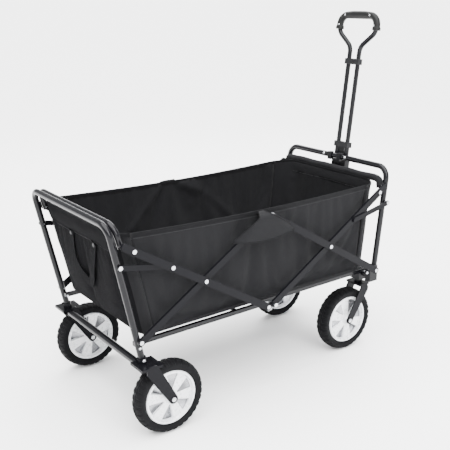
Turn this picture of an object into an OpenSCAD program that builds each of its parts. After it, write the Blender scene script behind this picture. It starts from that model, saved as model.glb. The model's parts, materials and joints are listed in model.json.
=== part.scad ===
// Collapsible utility wagon: two leaning end frames joined by a double scissor on each side,
// a fold-up floor, a fabric tub, fixed rear wheels, swivelling front wheels and a telescoping
// pull handle. +X is the front (handle) end, +Y the left side, +Z up. Units are millimetres.

/* [End frames] */
// Diameter of the end-frame tube
frame_tube_d = 17; // [14:1:20]
// Wall of the end-frame tube
frame_wall = 1.4; // [1:0.1:2]
// Distance from the middle plane to a leg's axis
leg_y = 219; // [210:1:225]
// Height of both top rails' axes
rail_z = 575; // [560:1:600]
// Rear top rail's axis, behind the scissor's middle
rear_rail_x = -469; // [-480:1:-460]
// Front top rail's axis, ahead of the scissor's middle
front_rail_x = 460; // [455:1:475]
// Outward lean of the rear frame
rear_lean = 11.2; // [8:0.1:13]
// Outward lean of the front frame
front_lean = 7.6; // [5:0.1:9]
// Bend radius of the end-frame tube's axis
frame_bend_r = 34; // [28:1:40]

/* [Scissor] */
// Opening angle of the bars above the horizontal
bar_angle = 31.7; // [28:0.1:34]
// Height of the crossings
cross_z = 386; // [380:1:392]
// Crossing to a middle joint
inner_half = 238; // [236:1:240]
// Crossing to the rivet at the upper end of a long bar
long_half = 235; // [230:1:238]
// Crossing to the pivot at the lower end of a short bar
short_half = 223; // [221:1:225]
// Crossing to the pin that carries an inner tube
tip_reach = 262; // [258:1:263]
// Half the distance between the two pivots of a middle joint
joint_half = 12.5; // [12:0.5:14]
// Width of the outer bars
outer_bar_w = 20; // [19:1:24]
// Width of the inner bars
inner_bar_w = 18; // [17:1:21]
// Thickness of a bar
bar_t = 7; // [6:0.5:7]
// Crossing to the link's rivet
link_reach = 113; // [111:1:115]

/* [Floor] */
// Height of the floor rails' axes
floor_z = 254.5; // [253:0.5:256]
// Height of the middle of the floor boards
board_z = 273; // [272.5:0.5:275]
// Thickness of a floor board
board_t = 4; // [3:0.5:4.5]

/* [Wheels] */
// Wheel diameter
wheel_d = 198; // [190:1:200]
// Tyre width
tyre_w = 45; // [40:1:46]
// Rim diameter
rim_d = 150; // [145:1:160]
// Rear axle behind the scissor's middle
rear_axle_x = -334; // [-340:1:-330]
// Rear wheel's middle, from the middle plane
rear_wheel_y = 228; // [226:1:230]
// Front wheel's middle, from the middle plane
front_wheel_y = 160; // [158:1:162]
// Swivel axis ahead of the scissor's middle
swivel_x = 414; // [410:1:418]
// Distance that a front axle trails its swivel axis
trail = 60; // [55:1:62]
// Axle radius
axle_r = 5; // [4.5:0.1:5.5]

/* [Handle] */
// Lean of the handle
handle_lean = 8; // [6:0.5:9]
// Distance from the middle plane to a handle tube's axis
handle_y = 20; // [19:1:22]
// Radius of the lower handle tubes
handle_outer_r = 8.7; // [8.4:0.1:9]
// Radius of the upper handle tubes
handle_inner_r = 7.2; // [6.8:0.1:7.3]
// Pivot to the top of the lower tubes
handle_lower_len = 384; // [380:1:410]
// Pivot to the middle of the collar
handle_collar_s = 638; // [630:1:650]
// Pivot to the middle of the grip's bar
handle_grip_s = 778; // [770:1:785]
// Half width of the grip loop, to the tube's axis
loop_half_w = 78; // [74:1:80]

/* [Hidden] */
$fn = 48;

right = -1;
left = 1;
// The scissor's middle plane, placed so that the origin is the bounding box's bottom centre
mid_x = -40.4;
frame_black = [0.09, 0.09, 0.1];
cloth_black = [0.13, 0.13, 0.14];
bolt_silver = [0.75, 0.76, 0.78];
rim_silver = [0.86, 0.87, 0.89];
tyre_black = [0.07, 0.07, 0.07];

tube_r = frame_tube_d / 2;
gap = 1;
inner_bar_y = leg_y + tube_r + gap;
outer_bar_y = inner_bar_y + bar_t + gap;
link_t = 3;
link_y_rear = inner_bar_y + 2;
pin_r = 3;
pin_clear = 0.08;
head_r = 5.5;
head_t = 1.5;
bar_wall = 1.3;

// Scissor points, as [x, z]
c = cos(bar_angle);
s = sin(bar_angle);
cross_rear = [mid_x - joint_half - inner_half * c, cross_z];
cross_front = [mid_x + joint_half + inner_half * c, cross_z];
low_mid_rear = [mid_x - joint_half, cross_z - inner_half * s];
low_mid_front = [mid_x + joint_half, cross_z - inner_half * s];
top_mid_rear = [mid_x - joint_half, cross_z + inner_half * s];
top_mid_front = [mid_x + joint_half, cross_z + inner_half * s];
low_rear = cross_rear + short_half * [-c, -s];
low_front = cross_front + short_half * [c, -s];
top_rear = cross_rear + long_half * [-c, s];
top_front = cross_front + long_half * [c, s];
tip_rear = cross_rear + tip_reach * [-c, s];
tip_front = cross_front + tip_reach * [c, s];
link_bar_rear = cross_rear + link_reach * [-c, s];
link_bar_front = cross_front + link_reach * [c, s];

// End-frame leg axes at a height
function rear_leg_x(z) = mid_x + rear_rail_x + (rail_z - z) * tan(rear_lean);
function front_leg_x(z) = mid_x + front_rail_x - (rail_z - z) * tan(front_lean);
link_z = 473;
link_leg_rear = [rear_leg_x(link_z), link_z];
link_leg_front = [front_leg_x(link_z), link_z];

rear_foot_z = 207;
front_foot_z = 240;
rear_cross_z = 203;
front_cross_x = mid_x + swivel_x + 2;
front_cross_z = 240;
wheel_r = wheel_d / 2;
rim_r = rim_d / 2;
fork_gap = tyre_w / 2 + 4;
fork_t = 3.5;
swivel_z = 205;

// Floor
floor_pivot_rear = [low_rear[0], floor_z];
floor_pivot_front = [low_front[0], floor_z];
floor_rail = 11;
rail_end = 4.5;
floor_rail_y_rear = 201;
floor_rail_y_front = 186;
board_gap = 62;

// Handle
handle_pivot = [mid_x + 436, 234];
handle_upper_start = 228;
grip_r = 11.5;

// ---- Helpers ----
// A plate drawn in the XZ plane, t thick, starting y_in from the middle plane
module slab(side, y_in, t) {
  translate([0, side < 0 ? -y_in : y_in + t, 0])
    rotate([90, 0, 0])
      linear_extrude(t) children();
}

// A round pin along Y
module y_pin(p, side, y_in, len, r) {
  translate([p[0], side < 0 ? -y_in : y_in + len, p[1]])
    rotate([90, 0, 0])
      cylinder(h = len, r = r);
}

// A rivet: its shank and a head outside it
module rivet(p, side, y_in, y_out) {
  y_pin(p, side, y_in, y_out - y_in + 0.2, pin_r);
  y_pin(p, side, y_out + 0.2, head_t, head_r);
}

// A strip with round ends from a to b, w wide
module strip(a, b, w) {
  len = norm(b - a);
  translate(a)
    rotate(atan2(b[1] - a[1], b[0] - a[0])) {
      circle(r = w / 2);
      translate([len, 0]) circle(r = w / 2);
      translate([0, -w / 2]) square([len, w]);
    }
}

// A blade that tapers from radius ra at a to rb at b, with tangent edges
module taper(a, ra, b, rb) {
  len = norm(b - a);
  lean = asin((ra - rb) / len);
  up = [sin(lean), cos(lean)];
  down = [sin(lean), -cos(lean)];
  translate(a)
    rotate(atan2(b[1] - a[1], b[0] - a[0])) {
      circle(r = ra);
      translate([len, 0]) circle(r = rb);
      polygon([ra * up, [len, 0] + rb * up, [len, 0] + rb * down, ra * down]);
    }
}

// A hollow flat bar with round ends and drilled holes
module flat_bar(side, y_in, a, b, w, holes) {
  dir = (b - a) / norm(b - a);
  difference() {
    slab(side, y_in, bar_t) strip(a, b, w);
    slab(side, y_in + bar_wall, bar_t - 2 * bar_wall)
      strip(a + 3 * dir, b - 3 * dir, w - 2 * bar_wall - 3);
    for (p = holes) y_pin(p, side, y_in - 1, bar_t + 2, pin_r + pin_clear);
  }
}

// A U-shaped tube in the YZ plane, its top at z = 0 and its legs down to -leg_len
module u_tube(half_w, leg_len, r, wall, bend_r) {
  for (side = [right, left]) {
    translate([0, side * half_w, -leg_len])
      difference() {
        cylinder(h = leg_len - bend_r, r = r);
        translate([0, 0, -1]) cylinder(h = leg_len - bend_r + 2, r = r - wall);
      }
    translate([0, side * (half_w - bend_r), -bend_r])
      rotate([90, 0, 90])
        rotate([0, 0, side > 0 ? 0 : 90])
          rotate_extrude(angle = 90)
            translate([bend_r, 0])
              difference() {
                circle(r = r);
                circle(r = r - wall);
              }
  }
  rotate([90, 0, 0])
    translate([0, 0, -(half_w - bend_r)])
      difference() {
        cylinder(h = 2 * (half_w - bend_r), r = r);
        translate([0, 0, -1]) cylinder(h = 2 * (half_w - bend_r) + 2, r = r - wall);
      }
}

// A hollow tube along Y
module y_tube(x, z, half_len, r, wall) {
  translate([x, half_len, z])
    rotate([90, 0, 0])
      difference() {
        cylinder(h = 2 * half_len, r = r);
        translate([0, 0, -1]) cylinder(h = 2 * half_len + 2, r = r - wall);
      }
}

// ---- Rear frame ----
module rear_u_tube() {
  leg_len = (rail_z - rear_foot_z) / cos(rear_lean);
  color(frame_black)
    difference() {
      translate([mid_x + rear_rail_x, 0, rail_z])
        rotate([0, -rear_lean, 0])
          u_tube(leg_y, leg_len, tube_r, frame_wall, frame_bend_r);
      for (side = [right, left])
        for (p = [low_rear, link_leg_rear])
          y_pin(p, side, leg_y - tube_r - 1, 2 * tube_r + 2, pin_r);
      for (side = [right, left])
        y_pin(floor_pivot_rear - [0, 2], side, leg_y - tube_r - 1, 8, pin_r);
    }
}

module rear_cross_tube() {
  color(frame_black)
    y_tube(rear_leg_x(rear_cross_z) - 1, rear_cross_z - 8,
      rear_wheel_y - fork_gap - fork_t, 10, 1.4);
}

// A fixed fork: a socket block under the leg and a blade each side of the wheel
module rear_fork(side) {
  foot = [rear_leg_x(rear_foot_z), rear_foot_z - 8];
  axle = [mid_x + rear_axle_x, wheel_r];
  color(frame_black)
    difference() {
      union() {
        translate([foot[0] - 24, side * rear_wheel_y - fork_gap - fork_t, foot[1] + 0.3])
          cube([60, 2 * (fork_gap + fork_t), 7]);
        translate([rear_leg_x(foot[1] + 3), side * leg_y, foot[1] + 3])
          rotate([0, -rear_lean, 0])
            cylinder(h = 21, r = tube_r + 3);
        for (inner = [rear_wheel_y - fork_gap - fork_t, rear_wheel_y + fork_gap])
          slab(side, inner, fork_t)
            taper(foot + [8, -6], 18, axle, 12.5);
      }
      translate([rear_leg_x(rear_foot_z), side * leg_y, rear_foot_z])
        rotate([0, -rear_lean, 0])
          cylinder(h = 30, r = tube_r);
      y_pin(axle, side, rear_wheel_y - fork_gap - fork_t - 1, 2 * (fork_gap + fork_t) + 2, axle_r);
    }
}

module axle_bolt(p, side, y_mid) {
  half = fork_gap + fork_t;
  y_pin(p, side, y_mid - half, 2 * half, axle_r);
  y_pin(p, side, y_mid - half - 2.5, 2.5, 6);
  y_pin(p, side, y_mid + half, 2.5, 6);
}

module rear_axles() {
  color(bolt_silver)
    for (side = [right, left])
      axle_bolt([mid_x + rear_axle_x, wheel_r], side, rear_wheel_y);
}

module rear_frame_pins() {
  color(bolt_silver)
    for (side = [right, left]) {
      rivet(low_rear, side, leg_y - 4, inner_bar_y + bar_t);
      rivet(link_leg_rear, side, leg_y - 4, link_y_rear + link_t);
      y_pin(floor_pivot_rear - [0, 2], side, floor_rail_y_rear - floor_rail / 2 - 2,
            leg_y - floor_rail_y_rear + floor_rail / 2 - 4, pin_r);
    }
}

// ---- Scissor bars ----
module short_bar_rear(side) {
  color(frame_black)
    flat_bar(side, inner_bar_y, low_rear, top_mid_rear, inner_bar_w,
             [low_rear, cross_rear, top_mid_rear]);
}

module short_bar_front(side) {
  color(frame_black)
    flat_bar(side, outer_bar_y, low_front, top_mid_front, outer_bar_w,
             [low_front, cross_front, top_mid_front]);
}

module long_bar_rear(side) {
  color(frame_black)
    flat_bar(side, outer_bar_y, tip_rear, low_mid_rear, outer_bar_w,
             [top_rear, link_bar_rear, cross_rear, low_mid_rear]);
}

module long_bar_front(side) {
  color(frame_black)
    flat_bar(side, inner_bar_y, tip_front, low_mid_front, inner_bar_w,
             [top_front, cross_front, low_mid_front]);
}

module crossing_pins_rear() {
  color(bolt_silver)
    for (side = [right, left])
      rivet(cross_rear, side, inner_bar_y + 0.5, outer_bar_y + bar_t);
}

module crossing_pins_front() {
  color(bolt_silver)
    for (side = [right, left])
      rivet(cross_front, side, inner_bar_y + 0.5, outer_bar_y + bar_t);
}

// Pins that carry an inner tube, and the rivets that hold the bars' upper ends
module tip_pins_rear() {
  color(bolt_silver)
    for (side = [right, left]) {
      y_pin(tip_rear, side, inner_y_rear - 7, outer_bar_y - inner_y_rear + 7, pin_r);
      rivet(top_rear, side, outer_bar_y + 0.5, outer_bar_y + bar_t);
      rivet(link_bar_rear, side, outer_bar_y + 0.5, outer_bar_y + bar_t);
    }
}

module tip_pins_front() {
  color(bolt_silver)
    for (side = [right, left]) {
      y_pin(tip_front, side, inner_y_front - 7, inner_bar_y - inner_y_front + 7, pin_r);
      rivet(top_front, side, inner_bar_y + 0.5, inner_bar_y + bar_t);
    }
}

// Short links from the legs to the long bars
module links_rear() {
  color(frame_black)
    for (side = [right, left])
      difference() {
        slab(side, link_y_rear, link_t) strip(link_leg_rear, link_bar_rear, 14);
        y_pin(link_leg_rear, side, link_y_rear - 1, link_t + 2, pin_r + pin_clear);
      }
}

module links_front() {
  color(frame_black)
    for (side = [right, left])
      difference() {
        slab(side, outer_bar_y, link_t) strip(link_leg_front, link_bar_front, 14);
        y_pin(link_leg_front, side, outer_bar_y - 1, link_t + 2, pin_r + pin_clear);
      }
  color(bolt_silver)
    for (side = [right, left])
      y_pin(link_bar_front, side, outer_bar_y + link_t, head_t, head_r);
}

// ---- Middle joints ----
plate_y = 222;
plate_t = inner_bar_y - plate_y - 0.5;
module joint_plate(side, a, b) {
  slab(side, plate_y, plate_t) strip(a, b, 20);
  rivet(a, side, plate_y + 1, outer_bar_y + bar_t);
  rivet(b, side, plate_y + 1, outer_bar_y + bar_t);
}

module lower_joint_plates() {
  stop = (low_mid_rear + low_mid_front) / 2 - [0, 14];
  color(bolt_silver)
    for (side = [right, left]) {
      joint_plate(side, low_mid_rear, low_mid_front);
      slab(side, plate_y, plate_t) circle_at(stop, 6);
    }
}

module circle_at(p, r) {
  translate(p) circle(r = r);
}

module upper_joint_plates() {
  color(bolt_silver)
    for (side = [right, left])
      joint_plate(side, top_mid_rear, top_mid_front);
}

// Cloth flaps that cover the upper middle joints, sewn to the tub
patch_y = outer_bar_y + bar_t + 2.2;
module joint_patches() {
  apex = [mid_x, cross_z + inner_half * s + 26];
  foot_z = cross_z + inner_half * s - 40;
  color(cloth_black)
    for (side = [right, left])
      slab(side, patch_y, 1.5)
        polygon([
          apex + [-12, 0], apex + [12, 0], [mid_x + 92, foot_z + 4],
          [mid_x + 40, foot_z - 10], [mid_x - 40, foot_z - 10], [mid_x - 92, foot_z + 4]
        ]);
}

// ---- Fabric tub ----
cloth_y = 205.5;
cloth_t = 3;
tub_rear_x = mid_x - 413;
tub_front_x = mid_x + 404;
tub_low_z = 268;
module side_panel(side) {
  color(cloth_black)
    slab(side, cloth_y, cloth_t)
      polygon([
        [tub_rear_x + 12, tub_low_z], [tub_front_x - 12, tub_low_z],
        [tub_front_x, 532], [tub_rear_x, 543]
      ]);
}

module floor_cloth() {
  color(cloth_black)
    translate([tub_rear_x + 14, -cloth_y + 0.3, tub_low_z - 1.4])
      cube([tub_front_x - tub_rear_x - 28, 2 * cloth_y - 0.6, 1.6]);
}

// The rear end panel hangs from the rear inner tube, whose rail it stays clear of
module rear_panel() {
  hang = 272;
  color(cloth_black)
    translate([mid_x - 446, 0, 560])
      rotate([0, -rear_lean, 0])
        translate([0, -190, -hang - 10])
          cube([2.5, 380, hang]);
}

// Webbing loop on the rear panel
module rear_strap() {
  color(cloth_black)
    translate([mid_x - 446, 0, 560])
      rotate([0, -rear_lean, 0]) {
        for (y = [-95, 45])
          translate([-2.5, y, -190]) cube([1.8, 20, 125]);
        translate([-2.5, -95, -208]) cube([1.8, 160, 18]);
      }
}

module front_panel() {
  hang = 252;
  color(cloth_black)
    translate([mid_x + 433, 0, 524])
      rotate([0, front_lean, 0])
        translate([-6, -190, -hang])
          cube([2.5, 380, hang]);
}

// ---- Inner tubes ----
inner_y_rear = 217;
inner_y_front = 210;
inner_tube_r = 8;
inner_rail_rear = [mid_x - 451, 573];
inner_rail_front = [mid_x + 440, 542];

// A U tube whose legs run from a rail down to a pair of side pins, with an eye at each pin
module inner_tube(rail, tip, half_w, bend_r) {
  leg = norm(rail - tip);
  lean = atan2(tip[0] - rail[0], rail[1] - tip[1]);
  difference() {
    union() {
      translate([rail[0], 0, rail[1]])
        rotate([0, -lean, 0])
          u_tube(half_w, leg + 8, inner_tube_r, 1.3, bend_r);
      for (side = [right, left])
        y_pin(tip, side, half_w - 6, 12, 7);
    }
    for (side = [right, left])
      y_pin(tip, side, half_w - 12, 26, pin_r + pin_clear);
  }
}

module inner_tube_rear() {
  color(frame_black) inner_tube(inner_rail_rear, tip_rear, inner_y_rear, 34);
}

module inner_tube_front() {
  color(frame_black) inner_tube(inner_rail_front, tip_front, inner_y_front, 12);
}

// ---- Floor ----
// One half of the floor frame: two side rails and two cross tubes
module floor_half(pivot, dir, rail_y) {
  len = abs(mid_x - pivot[0]);
  x0 = pivot[0];
  far = x0 + dir * len;
  color(frame_black)
    for (side = [right, left])
      difference() {
        slab(side, rail_y - floor_rail / 2, floor_rail)
          translate([min(x0 - dir * rail_end, far), pivot[1] - floor_rail / 2])
            square([abs(far - x0 + dir * rail_end), floor_rail]);
        y_pin(pivot - [0, 2], side, rail_y - floor_rail, 2 * floor_rail, pin_r + pin_clear);
      }
  color(frame_black)
    for (k = [0.12, 0.78])
      y_tube(x0 + dir * k * len, pivot[1], rail_y - floor_rail / 2, 5, 1.2);
}

module floor_frame_rear() {
  floor_half(floor_pivot_rear, 1, floor_rail_y_rear);
}

module floor_frame_front() {
  floor_half(floor_pivot_front, -1, floor_rail_y_front);
}

module floor_board_rear() {
  x0 = floor_pivot_rear[0] + 14;
  color(cloth_black)
    translate([x0, -180, board_z - board_t / 2])
      cube([mid_x - board_gap - x0, 360, board_t]);
}

module floor_board_front() {
  x0 = mid_x + board_gap;
  color(cloth_black)
    translate([x0, -180, board_z - board_t / 2])
      cube([floor_pivot_front[0] - 14 - x0, 360, board_t]);
}

// ---- Front frame ----
module front_u_tube() {
  leg_len = (rail_z - front_foot_z) / cos(front_lean);
  color(frame_black)
    difference() {
      translate([mid_x + front_rail_x, 0, rail_z])
        rotate([0, front_lean, 0])
          u_tube(leg_y, leg_len, tube_r, frame_wall, frame_bend_r);
      for (side = [right, left])
        y_pin(link_leg_front, side, leg_y - tube_r - 1, 2 * tube_r + 2, pin_r);
    }
}

module front_cross_tube() {
  color(frame_black)
    y_tube(front_cross_x, front_cross_z, leg_y - 12, 9, 1.5);
}

// Block at each leg's foot: holds the leg, the cross tube and the bar's pivot
module front_feet() {
  color(frame_black)
    for (side = [right, left])
      difference() {
        slab(side, leg_y - 12, 12 + tube_r)
          translate([low_front[0] - 10, 228]) square([32, 50]);
        translate([front_leg_x(front_foot_z), side * leg_y, front_foot_z])
          rotate([0, front_lean, 0])
            cylinder(h = 120, r = tube_r);
        y_pin(low_front, side, leg_y - 4, 30, pin_r);
        y_pin(floor_pivot_front - [0, 2], side, leg_y - 20, 16, pin_r);
      }
}

// Housings that hang under the cross tube and take the swivel stems
module caster_sockets() {
  color(frame_black)
    for (side = [right, left])
      difference() {
        translate([mid_x + swivel_x, side * front_wheel_y, 0]) {
          translate([-15, -19, 219]) cube([30, 38, 33]);
          translate([0, 0, 213.5]) cylinder(h = 6, r = 14);
        }
        y_pin([front_cross_x, front_cross_z], side, 100, 120, 9);
        translate([mid_x + swivel_x, side * front_wheel_y, 213])
          cylinder(h = 16, r = 6.06);
      }
}

module front_frame_pins() {
  color(bolt_silver)
    for (side = [right, left]) {
      rivet(low_front, side, leg_y - 4, outer_bar_y + bar_t);
      rivet(link_leg_front, side, leg_y - 4, outer_bar_y + link_t);
      y_pin(floor_pivot_front - [0, 2], side, floor_rail_y_front - floor_rail / 2 - 1,
            leg_y - floor_rail_y_front + floor_rail / 2 - 5, pin_r);
    }
}

// Two ears on the cross tube that hold the handle's pivot bolt
module handle_hinge() {
  color(frame_black)
    for (side = [right, left])
      difference() {
        slab(side, handle_y + handle_outer_r + 1, 4)
          taper([front_cross_x, front_cross_z], 14, handle_pivot, 11);
        y_pin([front_cross_x, front_cross_z], side, 0, 60, 9);
        y_pin(handle_pivot, side, 0, 60, 4);
      }
  color(bolt_silver)
    translate([handle_pivot[0], handle_y + handle_outer_r + 5.1, handle_pivot[1]])
      rotate([90, 0, 0]) {
        cylinder(h = 2 * (handle_y + handle_outer_r + 5.1), r = 4);
        translate([0, 0, -3]) cylinder(h = 3, r = 7);
        translate([0, 0, 2 * (handle_y + handle_outer_r + 5.1)]) cylinder(h = 3, r = 7);
      }
}

// Two saddles on the top rail that the lower tubes rest against
module handle_rail_clip() {
  color(frame_black)
    for (side = [right, left])
      difference() {
        slab(side, handle_y - 7, 14)
          translate([mid_x + front_rail_x - 11, rail_z - 12]) square([14, 24]);
        y_pin([mid_x + front_rail_x, rail_z], side, 0, 60, tube_r);
      }
}

// ---- Wheels ----
module at_wheel(side, x, y_mid) {
  translate([x, side * y_mid, wheel_r]) rotate([90, 0, 0]) children();
}

module tyre() {
  seat = rim_r - 3;
  shoulder = wheel_r - 7;
  half = tyre_w / 2;
  color(tyre_black)
    rotate_extrude($fn = 96)
      polygon([
        [seat, -half + 5], [rim_r + 2, -half + 1.5], [shoulder - 4, -half], [shoulder, -half + 3],
        [wheel_r - 1.5, -half + 11], [wheel_r, -6], [wheel_r, 6],
        [wheel_r - 1.5, half - 11], [shoulder, half - 3], [shoulder - 4, half],
        [rim_r + 2, half - 1.5], [seat, half - 5]
      ]);
}

// Six-pocket moulded rim with its hub
module rim() {
  half = tyre_w / 2;
  hub_half = fork_gap - 0.5;
  web = 9;
  skin = 3;
  color(rim_silver)
    difference() {
      rotate_extrude($fn = 96)
        polygon([
          [axle_r + 0.06, -hub_half], [13, -hub_half], [16, -web], [rim_r - 10, -web],
          [rim_r - 8, -half + 3], [rim_r - 3, -half + 3], [rim_r - 3, half - 3],
          [rim_r - 8, half - 3], [rim_r - 10, web], [16, web], [13, hub_half],
          [axle_r + 0.06, hub_half]
        ]);
      for (a = [0:60:300])
        rotate([0, 0, a])
          for (z = [-half, skin / 2])
            translate([0, 0, z])
              linear_extrude(half - skin / 2)
                polygon([[26, -2], [rim_r - 13, -13], [rim_r - 13, 13], [26, 2]]);
    }
}

// ---- Casters ----
module caster_fork(side) {
  top = [mid_x + swivel_x, swivel_z];
  axle = [mid_x + swivel_x - trail, wheel_r];
  half = fork_gap + fork_t;
  color(frame_black)
    difference() {
      union() {
        translate([top[0] - 20, side * front_wheel_y - half, swivel_z - 3])
          cube([38, 2 * half, 6]);
        translate([top[0], side * front_wheel_y, swivel_z]) cylinder(h = 8, r = 12);
        translate([top[0], side * front_wheel_y, swivel_z]) cylinder(h = 23, r = 6);
        for (inner = [front_wheel_y - half, front_wheel_y + fork_gap])
          slab(side, inner, fork_t)
            taper(top + [0, -14], 16, axle, 11.5);
      }
      y_pin(axle, side, front_wheel_y - half - 1, 2 * half + 2, axle_r);
    }
}

module caster_axles(side) {
  color(bolt_silver)
    axle_bolt([mid_x + swivel_x - trail, wheel_r], side, front_wheel_y);
}

// ---- Handle ----
// Places children in the handle's own frame: local Z runs along it from the pivot
module on_handle() {
  translate([handle_pivot[0], 0, handle_pivot[1]])
    rotate([0, handle_lean, 0]) children();
}

module handle_lower_tubes() {
  color(frame_black)
    on_handle()
      for (side = [right, left])
        difference() {
          translate([0, side * handle_y, -8])
            cylinder(h = handle_lower_len + 8, r = handle_outer_r);
          translate([0, side * handle_y, -10])
            cylinder(h = handle_lower_len + 11, r = handle_inner_r + 0.3);
          translate([0, side * handle_y, 0])
            rotate([90, 0, 0]) cylinder(h = 40, r = 4.06, center = true);
        }
}

// Moulded clamp that ties the lower tubes together under the top rail
module handle_clamp() {
  color(frame_black)
    on_handle()
      difference() {
        translate([-10, -30, 302]) cube([20.5, 60, 26]);
        for (side = [right, left])
          translate([0, side * handle_y, 300]) cylinder(h = 30, r = handle_outer_r);
      }
  color(bolt_silver)
    on_handle()
      translate([-10, 0, 315]) rotate([0, -90, 0]) cylinder(h = 1.5, r = 4);
}

// Moulded cap and web at the top of the lower tubes
module handle_top_cap() {
  color(frame_black)
    on_handle()
      difference() {
        union() {
          translate([-10, -29.5, handle_lower_len - 14]) cube([20, 59, 17]);
          translate([-3, -12, handle_lower_len - 50]) cube([6, 24, 37]);
        }
        for (side = [right, left]) {
          translate([0, side * handle_y, handle_lower_len - 60])
            cylinder(h = 60, r = handle_outer_r);
          translate([0, side * handle_y, handle_lower_len - 1])
            cylinder(h = 20, r = handle_inner_r + 0.3);
        }
      }
}

// A bend in the handle's plane, centred at [y, z], from angle a0 over turn degrees
module handle_bend(y, z, bend_r, a0, turn, r) {
  translate([0, y, z])
    rotate([90, 0, 90])
      rotate([0, 0, a0])
        rotate_extrude(angle = turn)
          translate([bend_r, 0]) circle(r = r);
}

// A hollow tube from the origin along +Z
module pipe(len, r, bore) {
  difference() {
    cylinder(h = len, r = r);
    translate([0, 0, -1]) cylinder(h = len + 2, r = bore);
  }
}

// A rod from the origin along +Z that runs lap into the bend at each end
module lapped_rod(len, r, lap) {
  translate([0, 0, -lap]) cylinder(h = len + 2 * lap, r = r);
}

// Where each side of the loop starts, and its curves
flare_r = 35;
flare_turn = 52;
grip_bend_r = 30;
flare_s = handle_collar_s + 28;
flare_len = (loop_half_w - handle_y - 2 * flare_r * (1 - cos(flare_turn))) / sin(flare_turn);
flare_top_s = flare_s + 2 * flare_r * sin(flare_turn) + flare_len * cos(flare_turn);

module loop_side() {
  r = handle_inner_r;
  bend = r + 0.04;
  lap = 0.4;
  knee = [handle_y + flare_r * (1 - cos(flare_turn)), flare_s + flare_r * sin(flare_turn)];
  translate([0, handle_y, handle_upper_start]) pipe(flare_s - handle_upper_start, r, r - 1.2);
  handle_bend(handle_y + flare_r, flare_s, flare_r, 180 - flare_turn, flare_turn, bend);
  translate([0, knee[0], knee[1]])
    rotate([-flare_turn, 0, 0]) lapped_rod(flare_len, r, lap);
  handle_bend(loop_half_w - flare_r, flare_top_s, flare_r, -flare_turn, flare_turn, bend);
  translate([0, loop_half_w, flare_top_s])
    lapped_rod(handle_grip_s - grip_bend_r - flare_top_s, r, lap);
  handle_bend(loop_half_w - grip_bend_r, handle_grip_s - grip_bend_r, grip_bend_r, 0, 90, bend);
}

module handle_upper_tubes() {
  bar_half = loop_half_w - grip_bend_r;
  color(frame_black)
    on_handle() {
      loop_side();
      mirror([0, 1, 0]) loop_side();
      translate([0, -bar_half, handle_grip_s])
        rotate([-90, 0, 0]) lapped_rod(2 * bar_half, handle_inner_r, 0.4);
    }
}

module handle_collar() {
  color(frame_black)
    on_handle()
      difference() {
        translate([-9.5, -28.5, handle_collar_s - 9]) cube([19, 57, 18]);
        for (side = [right, left])
          translate([0, side * handle_y, handle_collar_s - 20])
            cylinder(h = 40, r = handle_inner_r);
      }
  color(bolt_silver)
    on_handle()
      translate([-9.5, -7, handle_collar_s]) rotate([0, -90, 0]) cylinder(h = 1.5, r = 4);
}

module grip_side(r, down, bend) {
  bar_half = loop_half_w - grip_bend_r;
  translate([0, loop_half_w, handle_grip_s - grip_bend_r - down])
    cylinder(h = down, r = r);
  handle_bend(bar_half, handle_grip_s - grip_bend_r, grip_bend_r, 0, 90, bend);
  translate([0, -1, handle_grip_s])
    rotate([-90, 0, 0]) cylinder(h = bar_half + 1, r = r);
}

module hand_grip() {
  cuff = 2;
  color(tyre_black)
    on_handle()
      for (half = [0, 1])
        mirror([0, half, 0])
          difference() {
            intersection() {
              grip_side(grip_r, cuff, grip_r);
              translate([-30, 0, handle_grip_s - 60]) cube([60, 120, 100]);
            }
            grip_side(handle_inner_r + 0.05, cuff + 2, handle_inner_r + 0.05);
          }
}

// ---- Sides of each pair ----
module rear_fork_right() {
  rear_fork(right);
}

module rear_fork_left() {
  rear_fork(left);
}

module short_bar_rear_right() {
  short_bar_rear(right);
}

module short_bar_rear_left() {
  short_bar_rear(left);
}

module long_bar_rear_right() {
  long_bar_rear(right);
}

module long_bar_rear_left() {
  long_bar_rear(left);
}

module side_panel_right() {
  side_panel(right);
}

module side_panel_left() {
  side_panel(left);
}

module long_bar_front_right() {
  long_bar_front(right);
}

module long_bar_front_left() {
  long_bar_front(left);
}

module short_bar_front_right() {
  short_bar_front(right);
}

module short_bar_front_left() {
  short_bar_front(left);
}

module caster_fork_right() {
  caster_fork(right);
}

module caster_fork_left() {
  caster_fork(left);
}

module caster_axles_right() {
  caster_axles(right);
}

module caster_axles_left() {
  caster_axles(left);
}

module tyre_rear_right() {
  at_wheel(right, mid_x + rear_axle_x, rear_wheel_y) tyre();
}

module rim_rear_right() {
  at_wheel(right, mid_x + rear_axle_x, rear_wheel_y) rim();
}

module tyre_rear_left() {
  at_wheel(left, mid_x + rear_axle_x, rear_wheel_y) tyre();
}

module rim_rear_left() {
  at_wheel(left, mid_x + rear_axle_x, rear_wheel_y) rim();
}

module tyre_front_right() {
  at_wheel(right, mid_x + swivel_x - trail, front_wheel_y) tyre();
}

module rim_front_right() {
  at_wheel(right, mid_x + swivel_x - trail, front_wheel_y) rim();
}

module tyre_front_left() {
  at_wheel(left, mid_x + swivel_x - trail, front_wheel_y) tyre();
}

module rim_front_left() {
  at_wheel(left, mid_x + swivel_x - trail, front_wheel_y) rim();
}

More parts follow.
